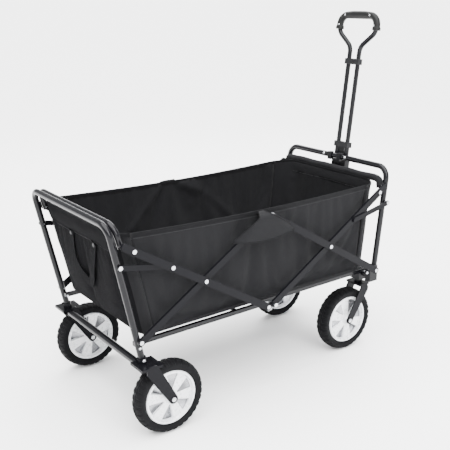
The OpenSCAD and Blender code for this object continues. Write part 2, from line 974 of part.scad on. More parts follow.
rear_u_tube();
rear_cross_tube();
rear_fork_right();
rear_fork_left();
rear_axles();
rear_frame_pins();
short_bar_rear_right();
short_bar_rear_left();
crossing_pins_rear();
long_bar_rear_right();
long_bar_rear_left();
tip_pins_rear();
links_rear();
lower_joint_plates();
upper_joint_plates();
joint_patches();
side_panel_right();
side_panel_left();
floor_cloth();
long_bar_front_right();
long_bar_front_left();
tip_pins_front();
short_bar_front_right();
short_bar_front_left();
crossing_pins_front();
links_front();
front_u_tube();
front_cross_tube();
front_feet();
caster_sockets();
front_frame_pins();
handle_hinge();
handle_rail_clip();
inner_tube_rear();
rear_panel();
rear_strap();
inner_tube_front();
front_panel();
floor_frame_rear();
floor_board_rear();
floor_frame_front();
floor_board_front();
tyre_rear_right();
rim_rear_right();
tyre_rear_left();
rim_rear_left();
caster_fork_right();
caster_fork_left();
caster_axles_right();
caster_axles_left();
tyre_front_right();
rim_front_right();
tyre_front_left();
rim_front_left();
handle_lower_tubes();
handle_clamp();
handle_top_cap();
handle_upper_tubes();
handle_collar();
hand_grip();
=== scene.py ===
import json
import math

import bpy
import numpy as np
from mathutils import Matrix, Vector, noise


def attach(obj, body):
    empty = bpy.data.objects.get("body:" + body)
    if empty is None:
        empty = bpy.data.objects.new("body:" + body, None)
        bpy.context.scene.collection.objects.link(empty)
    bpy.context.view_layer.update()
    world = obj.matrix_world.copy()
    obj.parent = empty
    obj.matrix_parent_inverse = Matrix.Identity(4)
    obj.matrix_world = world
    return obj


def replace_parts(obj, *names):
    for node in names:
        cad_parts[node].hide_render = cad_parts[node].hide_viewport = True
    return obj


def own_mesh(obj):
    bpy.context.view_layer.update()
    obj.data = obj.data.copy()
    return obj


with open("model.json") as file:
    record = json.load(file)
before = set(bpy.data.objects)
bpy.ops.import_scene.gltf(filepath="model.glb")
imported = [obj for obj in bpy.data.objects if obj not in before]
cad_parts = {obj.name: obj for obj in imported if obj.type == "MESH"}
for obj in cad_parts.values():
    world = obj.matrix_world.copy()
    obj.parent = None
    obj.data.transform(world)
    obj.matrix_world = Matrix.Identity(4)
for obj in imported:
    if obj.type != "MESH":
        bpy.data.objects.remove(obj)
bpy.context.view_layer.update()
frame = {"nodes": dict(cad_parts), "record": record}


# Shared sizes, in metres, in the CAD's frame
MID = -0.0404
LEG_Y = 0.219
LEAN_REAR = math.tan(math.radians(11.2))
LEAN_FRONT = math.tan(math.radians(7.6))
HANDLE = (MID + 0.436, 0.234, math.radians(8))
WHEEL_R = 0.099

# ---------------------------------------------------------------- camera
eye = Vector((-1.2562, -1.7315, 1.0968))
yaw, pitch, roll = 0.6198, -0.3037, -0.019
forward = Vector((math.sin(yaw) * math.cos(pitch), math.cos(yaw) * math.cos(pitch), math.sin(pitch)))
flat_right = Vector((math.cos(yaw), -math.sin(yaw), 0))
flat_up = flat_right.cross(forward)
cam_right = math.cos(roll) * flat_right + math.sin(roll) * flat_up
cam_up = -math.sin(roll) * flat_right + math.cos(roll) * flat_up
camera_data = bpy.data.cameras.new("camera")
camera_data.lens = 60.87
camera_data.sensor_width = 36
camera = bpy.data.objects.new("camera", camera_data)
bpy.context.collection.objects.link(camera)
turn = Matrix((cam_right, cam_up, -forward)).transposed().to_4x4()
camera.matrix_world = Matrix.Translation(eye) @ turn
bpy.context.scene.camera = camera


# ---------------------------------------------------------------- materials
def new_material(name, color, roughness, metallic=0.0, coat=0.0, shine=0.5):
    m = bpy.data.materials.new(name)
    m.use_nodes = True
    m.diffuse_color = (*color, 1)
    shader = m.node_tree.nodes["Principled BSDF"]
    shader.inputs["Base Color"].default_value = (*color, 1)
    shader.inputs["Roughness"].default_value = roughness
    shader.inputs["Metallic"].default_value = metallic
    shader.inputs["Coat Weight"].default_value = coat
    shader.inputs["Coat Roughness"].default_value = 0.08
    shader.inputs["Specular IOR Level"].default_value = shine
    return m, shader


def add(m, kind, **values):
    node = m.node_tree.nodes.new(kind)
    for key, value in values.items():
        if key in node.inputs:
            node.inputs[key].default_value = value
        else:
            setattr(node, key, value)
    return node


def rough_range(m, shader, coords, scale, low, high):
    spots = add(m, "ShaderNodeTexNoise", Scale=scale, Detail=6.0, Roughness=0.6)
    spread = add(m, "ShaderNodeMapRange")
    spread.inputs["To Min"].default_value = low
    spread.inputs["To Max"].default_value = high
    m.node_tree.links.new(coords, spots.inputs["Vector"])
    m.node_tree.links.new(spots.outputs["Fac"], spread.inputs["Value"])
    m.node_tree.links.new(spread.outputs["Result"], shader.inputs["Roughness"])


def bump(m, shader, height, strength, distance):
    b = add(m, "ShaderNodeBump", Strength=strength, Distance=distance)
    m.node_tree.links.new(height, b.inputs["Height"])
    m.node_tree.links.new(b.outputs["Normal"], shader.inputs["Normal"])
    return b


def grain_material(name, color, roughness, spread, scale, strength, metallic=0.0, coat=0.0, shine=0.5):
    m, shader = new_material(name, color, roughness, metallic, coat, shine)
    coords = add(m, "ShaderNodeTexCoord").outputs["Object"]
    rough_range(m, shader, coords, scale * 0.2, roughness - spread, roughness + spread)
    grain = add(m, "ShaderNodeTexNoise", Scale=scale, Detail=4.0, Roughness=0.55)
    m.node_tree.links.new(coords, grain.inputs["Vector"])
    bump(m, shader, grain.outputs["Fac"], strength, 0.0006)
    return m


def woven_material(name, color, pitch, strength, roughness=0.85, shine=0.06, sheen=0.02):
    m, shader = new_material(name, color, roughness, shine=shine)
    shader.inputs["Sheen Weight"].default_value = sheen
    shader.inputs["Sheen Roughness"].default_value = 0.5
    coords = add(m, "ShaderNodeTexCoord").outputs["Object"]
    rough_range(m, shader, coords, 14.0, roughness - 0.1, min(1.0, roughness + 0.1))
    bands = []
    for direction in ("X", "Y", "Z"):
        wave = add(m, "ShaderNodeTexWave", bands_direction=direction, Scale=pitch, Distortion=0.4)
        m.node_tree.links.new(coords, wave.inputs["Vector"])
        bands.append(wave.outputs["Fac"])
    first = add(m, "ShaderNodeMath", operation="ADD")
    second = add(m, "ShaderNodeMath", operation="ADD")
    m.node_tree.links.new(bands[0], first.inputs[0])
    m.node_tree.links.new(bands[1], first.inputs[1])
    m.node_tree.links.new(first.outputs[0], second.inputs[0])
    m.node_tree.links.new(bands[2], second.inputs[1])
    bump(m, shader, second.outputs[0], strength, 0.0008)
    return m


PAINT = grain_material("frame_paint", (0.004, 0.004, 0.005), 0.2, 0.06, 900, 0.06, shine=0.17)
BAR_PAINT = grain_material("bar_paint", (0.004, 0.004, 0.005), 0.24, 0.07, 900, 0.08, shine=0.065)
PLASTIC = grain_material("black_plastic", (0.006, 0.006, 0.007), 0.4, 0.08, 1400, 0.25, shine=0.14)
GRIP = grain_material("grip_plastic", (0.006, 0.006, 0.006), 0.45, 0.08, 1600, 0.35, shine=0.14)
STEEL = grain_material("rivet_steel", (0.55, 0.56, 0.58), 0.27, 0.08, 700, 0.12, metallic=1.0)
RIM = grain_material("rim_plastic", (0.7, 0.71, 0.73), 0.28, 0.07, 500, 0.08, metallic=0.25, coat=0.2)
RUBBER = grain_material("tyre_rubber", (0.004, 0.004, 0.0045), 0.6, 0.1, 1200, 0.35, shine=0.05)
# Darker silver for the rim's wedge pockets: painted shade in the recesses
RIM_RECESS_SHADE = grain_material("rim_recess_painted_shade", (0.36, 0.365, 0.38), 0.26, 0.06, 500, 0.06, metallic=0.8)
CLOTH = woven_material("tub_cloth", (0.0076, 0.0076, 0.0084), 420, 0.35)
# A darker copy of the tub cloth: painted shade on the rear end wall, its hem and its strap
END_CLOTH_SHADE = woven_material("end_cloth_painted_shade", (0.0024, 0.0024, 0.003), 420, 0.35, shine=0.03, sheen=0.006)
TAPE = woven_material("edge_tape", (0.004, 0.004, 0.0046), 700, 0.4, 0.75)
THREAD = grain_material("seam_thread", (0.02, 0.02, 0.022), 0.7, 0.1, 2500, 0.4)

SLOTS = {
    "frame_paint": PAINT, "black_plastic": PLASTIC, "rivet_steel": STEEL,
    "rim_plastic": RIM, "tyre": RUBBER, "cloth": CLOTH,
}
for part in frame["record"]["subparts"]:
    node = frame["nodes"][part["node"]]
    node.data.materials.clear()
    flat = part["node"].startswith(("long_bar", "short_bar", "links", "rear_fork", "caster_fork"))
    node.data.materials.append(BAR_PAINT if flat else SLOTS[part["material_slot"]])


# ---------------------------------------------------------------- mesh helpers
def make(name, verts, faces, material, body=None):
    data = bpy.data.meshes.new(name)
    data.from_pydata([tuple(map(float, v)) for v in verts], [], faces)
    data.validate()
    data.update()
    data.shade_smooth()
    data.materials.append(material)
    obj = bpy.data.objects.new(name, data)
    bpy.context.collection.objects.link(obj)
    if body:
        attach(obj, body)
    return obj


def sharpen(obj, angle=35):
    obj.data.set_sharp_from_angle(angle=math.radians(angle))
    return obj


def grid_faces(nu, nv, wrap_u=False, wrap_v=False, start=0):
    faces = []
    for i in range(nu if wrap_u else nu - 1):
        for j in range(nv if wrap_v else nv - 1):
            a, b = i, (i + 1) % nu
            c, d = j, (j + 1) % nv
            faces.append((start + a * nv + c, start + b * nv + c, start + b * nv + d, start + a * nv + d))
    return faces


def sweep(name, path, section, material, body=None, closed=False, up=(0, 0, 1)):
    """section(i, t) gives the outline at path point i, as points (along side, along lift)."""
    pts = [Vector(p) for p in path]
    n = len(pts)
    verts, size = [], 0
    side = None
    for i, p in enumerate(pts):
        nxt = pts[(i + 1) % n] if closed or i < n - 1 else p
        prv = pts[i - 1] if closed or i > 0 else p
        t = (nxt - prv).normalized()
        if side is None:
            side = t.cross(Vector(up))
            if side.length < 1e-4:
                side = t.cross(Vector((0, 1, 0)))
        side = (side - side.dot(t) * t).normalized()
        lift = side.cross(t).normalized()
        ring = section(i, i / max(1, n - 1))
        size = len(ring)
        verts += [p + a * side + b * lift for a, b in ring]
    faces = grid_faces(n, size, wrap_u=closed, wrap_v=True)
    if not closed:
        faces.append(tuple(range(size - 1, -1, -1)))
        faces.append(tuple(range((n - 1) * size, n * size)))
    return make(name, verts, faces, material, body)


def circle(r, k):
    return [(r * math.cos(2 * math.pi * i / k), r * math.sin(2 * math.pi * i / k)) for i in range(k)]


def rounded_box(w, h, r, k=4):
    out = []
    for cx, cy, a0 in ((w - r, h - r, 0), (r - w, h - r, 90), (r - w, r - h, 180), (w - r, r - h, 270)):
        for i in range(k + 1):
            a = math.radians(a0 + 90 * i / k)
            out.append((cx + r * math.cos(a), cy + r * math.sin(a)))
    return out


def turned(name, profile, at, axis, material, body=None, seg=32):
    """profile is (radius, distance along axis) from one end to the other; the ends close on the axis."""
    axis = Vector(axis).normalized()
    side = axis.orthogonal().normalized()
    lift = axis.cross(side)
    verts = []
    for i in range(seg):
        a = 2 * math.pi * i / seg
        out = math.cos(a) * side + math.sin(a) * lift
        verts += [Vector(at) + r * out + h * axis for r, h in profile]
    k = len(profile)
    faces = grid_faces(seg, k, wrap_u=True)
    faces.append(tuple(i * k for i in range(seg)))
    faces.append(tuple(i * k + k - 1 for i in reversed(range(seg))))
    return sharpen(make(name, verts, faces, material, body), 40)


def smooth_path(points, steps=8):
    """A Catmull-Rom curve through points."""
    pts = [Vector(p) for p in points]
    pts = [2 * pts[0] - pts[1]] + pts + [2 * pts[-1] - pts[-2]]
    out = []
    for i in range(1, len(pts) - 2):
        a, b, c, d = pts[i - 1:i + 3]
        for k in range(steps):
            t = k / steps
            bend = (2 * a - 5 * b + 4 * c - d) * t * t
            out.append(0.5 * (2 * b + (c - a) * t + bend + (3 * b - a - 3 * c + d) * t ** 3))
    out.append(pts[-2])
    return out


def step(x, low, high):
    t = min(1.0, max(0.0, (x - low) / (high - low)))
    return t * t * (3 - 2 * t)


# ---------------------------------------------------------------- wheels
def pocket_half(r):
    """Half width of a rim's wedge recess at a radius."""
    return 0.0020 + 0.0158 * max(0.0, min(1.0, (r - 0.022) / 0.047)) ** 1.05


def rim_height(r, angle):
    """How far a wheel face stands out from the wheel's middle at a radius and angle."""
    if r > 0.0725:
        return 0.0195 - 0.0025 * step(r, 0.0775, 0.0795)
    dish = 0.0115 + 0.004 * (1 - r / 0.0725)
    dish += (0.0195 - dish) * step(r, 0.0705, 0.0725)
    dish += 0.0105 * (1 - step(r, 0.013, 0.0165))
    sector = (math.degrees(angle) + 30) % 60 - 30
    across = abs(math.radians(sector)) * r
    half = pocket_half(r)
    slant = 0.2 + 0.8 * min(1.0, max(0.0, 0.5 + 0.5 * math.radians(sector) * r / half))
    inside = (1 - step(across, half - 0.0008, half + 0.0008)) * step(r, 0.0200, 0.0225)
    inside *= 1 - step(r, 0.0672, 0.0688)
    return dish - (0.003 + 0.0080 * step(r, 0.02, 0.055)) * inside * slant


def rim_column(i, count, r):
    """Angle of a mesh column at a radius: half of each sector's columns lie in its pocket."""
    per = count // 6
    u = (i % per) / per * 2
    side = u if u <= 1 else u - 2
    limited = min(0.0688, max(0.022, r))
    pocket = pocket_half(limited) / limited
    reach = abs(side) * 2
    rest = math.radians(30) - pocket
    across = pocket * reach if reach <= 1 else pocket + rest * (reach - 1)
    return math.radians(60) * (i // per + (1 if side < 0 else 0)) + math.copysign(across, side)


HUB_EDGE = 0.024
RIM_DRAW = 0.885


def draw_in(r):
    """Draws the rim's outer part in to the tyre's seat."""
    return r if r < HUB_EDGE else HUB_EDGE + (r - HUB_EDGE) * RIM_DRAW


def rim(name, x, y, body, spin):
    radii = [0.0, 0.006, 0.0115, 0.0128, 0.0135, 0.0145, 0.0155, 0.0167, 0.019]
    radii += [0.0222, 0.0229, 0.0238, 0.0247]
    radii += [0.0247 + 0.0415 * (i / 11) for i in range(1, 12)]
    radii += [0.0668, 0.0673, 0.068, 0.0687, 0.0695, 0.0705, 0.0712, 0.0719, 0.0726]
    radii += [0.075, 0.0775, 0.0782, 0.0788, 0.0796]
    count = 240
    verts = []
    for face in (1, -1):
        for i in range(count):
            for r in radii:
                a = rim_column(i, count, r)
                h = face * rim_height(r, a)
                b = a + spin
                r = draw_in(r)
                verts.append((x + r * math.cos(b), y + h, WHEEL_R + r * math.sin(b)))
    k = len(radii)
    front = grid_faces(count, k, wrap_u=True)
    back = [tuple(reversed(f)) for f in grid_faces(count, k, wrap_u=True, start=count * k)]
    band = []
    for i in range(count):
        j = (i + 1) % count
        band.append((i * k + k - 1, j * k + k - 1, (count + j) * k + k - 1, (count + i) * k + k - 1))
    obj = make(name, verts, front + back + band, RIM, None)
    # Faces inside the wedge pockets take the darker recess material: painted shade
    obj.data.materials.append(RIM_RECESS_SHADE)
    for f in obj.data.polygons:
        dx, dz = f.center.x - x, f.center.z - WHEEL_R
        r, sector = math.hypot(dx, dz), (math.degrees(math.atan2(dz, dx) - spin) + 30) % 60 - 30
        r = r if r < HUB_EDGE else HUB_EDGE + (r - HUB_EDGE) / RIM_DRAW
        if 0.0215 < r < 0.0682 and abs(math.radians(sector)) * r < pocket_half(r):
            f.material_index = 1
    sharpen(obj, 38)
    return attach(obj, body)


def tyre(name, x, y, body, spin):
    """Smooth side walls and a shallow block tread."""
    profile = [
        (0.0722, -0.0155), (0.0752, -0.0188), (0.0800, -0.0210), (0.0860, -0.0222), (0.0905, -0.0220),
        (0.0932, -0.0200), (0.0945, -0.0180), (0.0960, -0.0150), (0.0972, -0.0115), (0.0980, -0.0085),
        (0.0984, -0.0060), (0.0986, -0.0035), (0.0986, 0.0),
    ]
    profile += [(r, -h) for r, h in reversed(profile[:-1])]
    count = 320
    verts = []
    for i in range(count):
        a = 2 * math.pi * i / count
        for r, h in profile:
            phase = (i + (5 if h > 0 else 0)) % 10
            cut = 0.0
            if 0.004 < abs(h) < 0.0225 and r > 0.090 and phase < 4:
                cut = 0.0021
            if abs(abs(h) - 0.0035) < 0.0004:
                cut = 0.0016
            r = r - cut
            verts.append((x + r * math.cos(a + spin), y + h, WHEEL_R + r * math.sin(a + spin)))
    obj = make(name, verts, grid_faces(count, len(profile), wrap_u=True, wrap_v=True), RUBBER, None)
    sharpen(obj, 32)
    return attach(obj, body)


FORK_FACE = 0.0325
WHEELS = [
    ("rear_right", MID - 0.334, -0.228, 0.35), ("rear_left", MID - 0.334, 0.228, 0.8),
    ("front_right", MID + 0.354, -0.160, 0.1), ("front_left", MID + 0.354, 0.160, 0.6),
]
for place, x, y, spin in WHEELS:
    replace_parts(rim("rim_look_" + place, x, y, "wheel_" + place, spin), "rim_" + place)
    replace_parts(tyre("tyre_look_" + place, x, y, "wheel_" + place, spin), "tyre_" + place)
    carrier = "rear_frame" if place.startswith("rear") else "caster_" + place.split("_")[1]
    for side in (1, -1):
        bolt = [(0.0, 0.0012), (0.0038, 0.0012), (0.0052, 0.0004), (0.0056, -0.0025)]
        turned(f"hub_bolt_{place}_{'a' if side > 0 else 'b'}", [(r + 1e-5, h) for r, h in bolt],
               (x, y + side * FORK_FACE, WHEEL_R), (0, side, 0), STEEL, carrier)


# ---------------------------------------------------------------- cloth tub
TOP_REAR, TOP_FRONT, LOW = 0.545, 0.533, 0.2745
SIDE_Y = 0.2125
FLOOR_CLOTH_Z = 0.2715
MAT_Z = 0.2758
CLOTH_T = 0.0011


def rear_x(z):
    return MID - 0.4455 + LEAN_REAR * (0.560 - z)


def front_x(z):
    return MID + 0.431 - LEAN_FRONT * (0.540 - z)


def top_z(x):
    t = (x - (MID - 0.445)) / 0.875
    return TOP_REAR + (TOP_FRONT - TOP_REAR) * t - 0.011 * math.sin(math.pi * min(1, max(0, t)))


def wrinkle(x, y, z, amount):
    """A soft, repeatable unevenness, stronger across the cloth than down it."""
    a = noise.noise(Vector((x * 9, y * 9, z * 3.2)))
    b = noise.noise(Vector((x * 23 + 4, y * 23, z * 9)))
    return amount * (a + 0.45 * b)


def cloth_mesh(name, nu, nv, point):
    verts = [point(i / (nu - 1), j / (nv - 1)) for i in range(nu) for j in range(nv)]
    obj = make(name, verts, grid_faces(nu, nv), CLOTH, None)
    uv = obj.data.uv_layers.new(name="uv")
    for loop in obj.data.loops:
        i, j = divmod(loop.vertex_index, nv)
        uv.data[loop.index].uv = (i / (nu - 1), j / (nv - 1))
    return obj


CREASES = [
    ((-0.091, 0.543), (-0.239, 0.390)), ((-0.091, 0.543), (0.055, 0.480)),
    ((-0.239, 0.390), (-0.36, 0.30)), ((0.055, 0.480), (0.21, 0.33)),
]


def crease(x, z, depth, width):
    """The cloth's fold lines over the bars behind it."""
    total = 0.0
    for (ax, az), (bx, bz) in CREASES:
        dx, dz = bx - ax, bz - az
        t = ((x - ax) * dx + (z - az) * dz) / (dx * dx + dz * dz)
        if -0.02 < t < 1.02:
            off = math.hypot(x - ax - t * dx, z - az - t * dz)
            fade = math.exp(-(off / width) ** 1.6) * min(1.0, 8 * (1.02 - t))
            total = max(total, fade * min(1.0, 8 * (t + 0.1)))
    return depth * total


def side_point(sign):
    def point(u, v):
        z = LOW + v * (top_z(MID - 0.43 + 0.83 * u) - LOW)
        x0, x1 = rear_x(z) + 0.034, front_x(z) - 0.05
        x = x0 + u * (x1 - x0)
        z = LOW + v * (top_z(x) - LOW)
        inset = 0.004 * math.sin(math.pi * v)
        soft = min(1, 6 * v) * min(1, 6 * (1 - v))
        y = SIDE_Y - inset + wrinkle(x, sign * 3, z, 0.0045) * soft
        y -= crease(x, z, 0.014 if sign > 0 else 0.006, 0.016) * min(1, 12 * (1 - v)) * min(1, 6 * v)
        return (x, sign * y, z)
    return point


def end_point(wall_x, sign, radius, top):
    """The end wall with its two rounded corners; u runs from the right side to the left."""
    flat = SIDE_Y - radius
    arc = radius * math.pi / 2
    total = 2 * flat + 2 * arc

    def point(u, v):
        s = u * total
        if s < arc:
            a = s / radius
            dx, y = radius * (1 - math.sin(a)), -SIDE_Y + radius * (1 - math.cos(a))
        elif s > total - arc:
            a = (total - s) / radius
            dx, y = radius * (1 - math.sin(a)), SIDE_Y - radius * (1 - math.cos(a))
        else:
            dx, y = 0.0, -flat + (s - arc)
        z = LOW + v * (top(y) - LOW)
        x = wall_x(z) - sign * dx
        soft = min(1, 5 * v) * min(1, 5 * (1 - v))
        return (x + wrinkle(3, y, z, 0.004) * soft, y, z)
    return point, total


def floor_point(u, v):
    x0, x1 = rear_x(LOW) + 0.012, front_x(LOW) - 0.012
    x = x0 + u * (x1 - x0)
    y = -SIDE_Y + 0.004 + v * 2 * (SIDE_Y - 0.004)
    return (x, y, FLOOR_CLOTH_Z)


SIDE_GRID = (84, 30)
END_GRID = (48, 30)
sides = []
for sign, label in ((-1, "right"), (1, "left")):
    sides.append(cloth_mesh("tub_side_" + label, *SIDE_GRID, side_point(sign)))
rear_top = lambda y: 0.551 - 0.006 * step(abs(y), 0.15, 0.212)
front_top = lambda y: 0.536 - 0.004 * step(abs(y), 0.15, 0.212)
rear_shape, rear_flat = end_point(rear_x, -1, 0.034, rear_top)
front_shape, front_flat = end_point(front_x, 1, 0.05, front_top)
rear_wall = cloth_mesh("tub_rear", *END_GRID, rear_shape)
front_wall = cloth_mesh("tub_front", *END_GRID, front_shape)


def pin(obj, nu, nv, free):
    group = obj.vertex_groups.new(name="held")
    for i in range(nu):
        for j in range(nv):
            if not free(i / (nu - 1), j / (nv - 1)):
                group.add([i * nv + j], 1.0, "REPLACE")
    return group


def simulate(objs, frames=20):
    scene = bpy.context.scene
    scene.frame_start, scene.frame_end = 1, frames
    for obj, slack in objs:
        mod = obj.modifiers.new("cloth", "CLOTH")
        s = mod.settings
        s.quality = 6
        s.mass = 0.15
        s.tension_stiffness = 12
        s.compression_stiffness = 12
        s.shear_stiffness = 4
        s.bending_stiffness = 0.35
        s.air_damping = 2
        s.vertex_group_mass = "held"
        s.shrink_min = -slack
        s.shrink_max = -slack
        mod.collision_settings.use_collision = False
        mod.point_cache.frame_start = 1
        mod.point_cache.frame_end = frames
    for f in range(1, frames + 1):
        scene.frame_set(f)
    graph = bpy.context.evaluated_depsgraph_get()
    for obj, _ in objs:
        done = obj.evaluated_get(graph)
        co = np.empty(len(done.data.vertices) * 3, np.float32)
        done.data.vertices.foreach_get("co", co)
        obj.modifiers.clear()
        obj.data.vertices.foreach_set("co", co)
        obj.data.update()
    scene.frame_set(1)


pin(sides[0], *SIDE_GRID, lambda u, v: 0.02 < u < 0.98 and 0.03 < v < 0.97)
pin(sides[1], *SIDE_GRID, lambda u, v: 0.02 < u < 0.98 and 0.03 < v < 0.97)
pin(rear_wall, *END_GRID, lambda u, v: 0.12 < u < 0.88 and 0.03 < v < 0.76)
pin(front_wall, *END_GRID, lambda u, v: 0.12 < u < 0.88 and 0.03 < v < 0.90)
simulate([(sides[0], 0.012), (sides[1], 0.014), (rear_wall, 0.012), (front_wall, 0.012)])


def keep_within(obj, limit):
    """Cloth can't pass the bars outside it."""
    for v in obj.data.vertices:
        v.co.y = max(-limit, min(limit, v.co.y))


for obj in sides:
    keep_within(obj, 0.2185)


def thicken(obj, t):
    mod = obj.modifiers.new("thick", "SOLIDIFY")
    mod.thickness = t
    mod.offset = 0
    graph = bpy.context.evaluated_depsgraph_get()
    obj.data = bpy.data.meshes.new_from_object(obj.evaluated_get(graph))
    obj.modifiers.clear()
    obj.data.shade_smooth()
    return obj


def top_rim(obj, nu, nv):
    """The line of points along a cloth piece's top edge."""
    return [obj.data.vertices[i * nv + nv - 1].co.copy() for i in range(nu)]


edges = {o.name: top_rim(o, *SIDE_GRID) for o in sides}
edges["rear"] = top_rim(rear_wall, *END_GRID)
edges["front"] = top_rim(front_wall, *END_GRID)
lows = {o.name: [o.data.vertices[i * SIDE_GRID[1]].co.copy() for i in range(SIDE_GRID[0])] for o in sides}


def tape(name, line, w, t, drop=0.0):
    """Folded edge tape along a cloth edge."""
    path = [p + Vector((0, 0, drop)) for p in line]
    return sweep(name, path, lambda i, s: rounded_box(t, w, min(t, w) * 0.8), TAPE, None)


def stitches(name, line, length=0.0045, gap=0.003, r=0.00045):
    """A row of thread stitches along a line."""
    pts = [Vector(p) for p in line]
    run, marks, at = 0.0, [], 0.0
    for a, b in zip(pts, pts[1:]):
        seg = (b - a).length
        while at < run + seg:
            marks.append((a + (b - a) * ((at - run) / seg), (b - a).normalized()))
            at += length + gap
        run += seg
    verts, faces = [], []
    for p, d in marks:
        side = d.orthogonal().normalized()
        lift = d.cross(side)
        base = len(verts)
        for k, (along, grow) in enumerate(((0, 0.4), (0.3, 1), (0.7, 1), (1, 0.4))):
            for a in range(5):
                ang = 2 * math.pi * a / 5
                out = math.cos(ang) * side + math.sin(ang) * lift
                verts.append(p + d * (length * along) + grow * r * out)
        for i in range(3):
            a0, a1 = base + i * 5, base + (i + 1) * 5
            faces += [(a0 + a, a1 + a, a1 + (a + 1) % 5, a0 + (a + 1) % 5) for a in range(5)]
        faces.append(tuple(base + a for a in reversed(range(5))))
        faces.append(tuple(base + 15 + a for a in range(5)))
    return make(name, verts, faces, THREAD, None)


for obj, label, sign in ((sides[0], "right", -1), (sides[1], "left", 1)):
    edge = edges[obj.name]
    trim = tape("top_tape_" + label, edge, 0.006, 0.0016, -0.003)
    seam = stitches("top_stitch_" + label, [p + Vector((0, sign * 0.002, -0.011)) for p in edge])
    low = tape("low_tape_" + label, lows[obj.name], 0.005, 0.0014, 0.003)
    thicken(obj, CLOTH_T)
    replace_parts(obj, "side_panel_" + label)
    for o in (obj, trim, seam, low):
        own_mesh(o)
        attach(o, "lower_joints")

# floor: cloth bottom with the padded mat on it
bottom = cloth_mesh("tub_bottom", 60, 30, floor_point)
thicken(bottom, 0.001)
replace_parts(bottom, "floor_cloth")
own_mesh(bottom)
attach(bottom, "lower_joints")


def mat_board(name, x0, x1, node, body):
    """One padded board of the floor mat, quilted at its edges."""
    nu, nv = 30, 40

    def height(u, v):
        edge = min(u, 1 - u, v, 1 - v)
        return 0.0014 + 0.0042 * step(edge, 0.0, 0.05) - 0.0016 * math.exp(-((edge - 0.055) / 0.008) ** 2)

    verts = []
    for sign in (1, -1):
        for i in range(nu):
            for j in range(nv):
                u, v = i / (nu - 1), j / (nv - 1)
                h = height(u, v) if sign > 0 else 0.0014
                verts.append((x0 + u * (x1 - x0), -0.197 + 0.394 * v, MAT_Z + sign * h))
    faces = grid_faces(nu, nv) + [tuple(reversed(f)) for f in grid_faces(nu, nv, start=nu * nv)]
    ring = [i * nv for i in range(nu)] + [(nu - 1) * nv + j for j in range(1, nv)]
    ring += [i * nv + nv - 1 for i in range(nu - 2, -1, -1)] + [j for j in range(nv - 2, 0, -1)]
    k = len(ring)
    faces += [(ring[i], ring[(i + 1) % k], ring[(i + 1) % k] + nu * nv, ring[i] + nu * nv) for i in range(k)]
    obj = make(name, verts, faces, CLOTH, None)
    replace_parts(obj, node)
    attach(obj, body)
    return obj


mat_board("mat_rear", rear_x(LOW) + 0.02, MID - 0.004, "floor_board_rear", "floor_rear")
mat_board("mat_front", MID + 0.004, front_x(LOW) - 0.02, "floor_board_front", "floor_front")


# ---------------------------------------------------------------- end walls, hems and the strap
def band(name, line_top, line_low, swell, n=6):
    """A doubled, slightly puffed band of cloth between two lines of points."""
    verts = []
    k = 2 * n
    for a, b in zip(line_top, line_low):
        across = (b - a)
        for j in range(k):
            t = j / n if j < n else (k - j) / n
            bulge = swell * math.sin(math.pi * t) * (1 if j < n else -1)
            verts.append(a + across * t + Vector((bulge, 0, 0)))
    faces = grid_faces(len(line_top), k, wrap_v=True)
    faces.append(tuple(range(k - 1, -1, -1)))
    faces.append(tuple((len(line_top) - 1) * k + j for j in range(k)))
    return make(name, verts, faces, CLOTH, None)


ys = [-0.186 + 0.372 * i / 40 for i in range(41)]
hem_top = [Vector((rear_x(0.553) - 0.001, y, 0.5535 - 0.0012 * math.cos(y * 30))) for y in ys]
hem_low = [Vector((rear_x(0.489) - 0.002, y, 0.489 + 0.0015 * math.cos(y * 22 + 1))) for y in ys]
rear_hem = band("rear_hem", hem_top, hem_low, 0.0045)
# The rear hem takes the darker end cloth: painted shade
rear_hem.data.materials[0] = END_CLOTH_SHADE
rear_seam = stitches("rear_hem_stitch", [p + Vector((-0.0026, 0, 0.003)) for p in hem_low])
rear_seam_top = stitches("rear_hem_stitch_top", [p + Vector((-0.003, 0, -0.006)) for p in hem_top])
rear_trim = tape("rear_top_tape", [p for p in edges["rear"]], 0.005, 0.0015, -0.002)

# webbing loop that hangs from the rear hem's seam
strap_x = lambda z: rear_x(z) - 0.006
strap_line = smooth_path([
    (strap_x(0.492), 0.056, 0.492), (strap_x(0.458) - 0.004, 0.061, 0.458),
    (strap_x(0.42) - 0.010, 0.058, 0.42), (strap_x(0.390) - 0.012, 0.040, 0.390),
    (strap_x(0.370) - 0.010, 0.016, 0.370), (strap_x(0.362) - 0.010, -0.006, 0.362),
    (strap_x(0.376) - 0.010, -0.024, 0.376), (strap_x(0.415) - 0.009, -0.044, 0.415),
    (strap_x(0.455) - 0.004, -0.060, 0.455), (strap_x(0.492), -0.076, 0.492),
], 9)


def strap_section(i, t):
    return rounded_box(0.0140, 0.0010, 0.0008)


strap_up = Vector((1, 0, LEAN_REAR)).normalized()
# The strap takes the darker end cloth: painted shade
strap = sweep("rear_webbing", strap_line, strap_section, END_CLOTH_SHADE, None, up=strap_up)
tacks = []
TACK = [(0.0001, 0.0022), (0.0052, 0.0018), (0.0058, 0.0)]
for y, label in ((0.056, "a"), (-0.076, "b")):
    base = Vector((strap_x(0.487) - 0.0008, y, 0.487))
    tacks.append(turned("strap_tack_" + label, TACK, base, (-1, 0, 0), PLASTIC, None, 20))
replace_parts(strap, "rear_strap")

thicken(rear_wall, CLOTH_T)
# The end faces take the darker end cloth as painted shade; the wrapped corners keep the tub cloth
rear_wall.data.materials.append(END_CLOTH_SHADE)
for f in rear_wall.data.polygons:
    if abs(f.normal.x) > abs(f.normal.y):
        f.material_index = 1
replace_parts(rear_wall, "rear_panel")
for o in (rear_wall, rear_hem, rear_seam, rear_seam_top, rear_trim, strap, *tacks):
    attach(o, "rear_frame")


